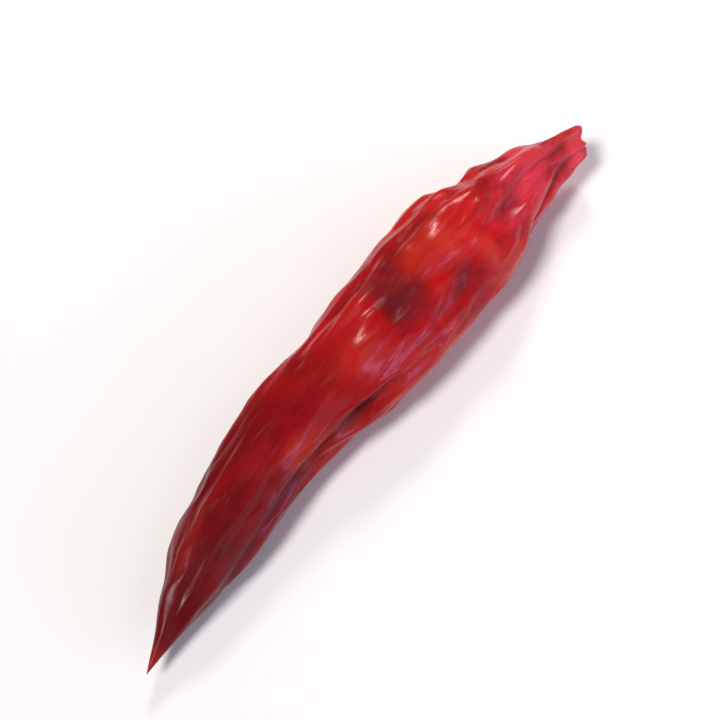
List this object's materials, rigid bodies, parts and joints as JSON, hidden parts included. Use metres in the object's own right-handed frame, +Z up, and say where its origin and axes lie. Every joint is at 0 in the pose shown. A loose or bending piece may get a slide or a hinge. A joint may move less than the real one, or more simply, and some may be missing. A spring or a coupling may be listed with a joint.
{
  "type": "dried chilli pepper",
  "caption": "Long pointed dried chilli pod with wrinkled glossy skin, a crumpled shoulder and a pleated neck torn open where the stalk was.",
  "frame": {"origin": "on the ground plane, under the middle of the pod's bounding box", "axes": "+X along the pod from its torn mouth to its tip, +Y towards the hollow side of its bow, +Z up from the ground it lies on"},
  "size_m": [0.066, 0.0118, 0.009],
  "materials": {
    "skin": "glossy dried skin"
  },
  "bodies": {
    "root": {"pod": "skin"}
  },
  "joints": []
}
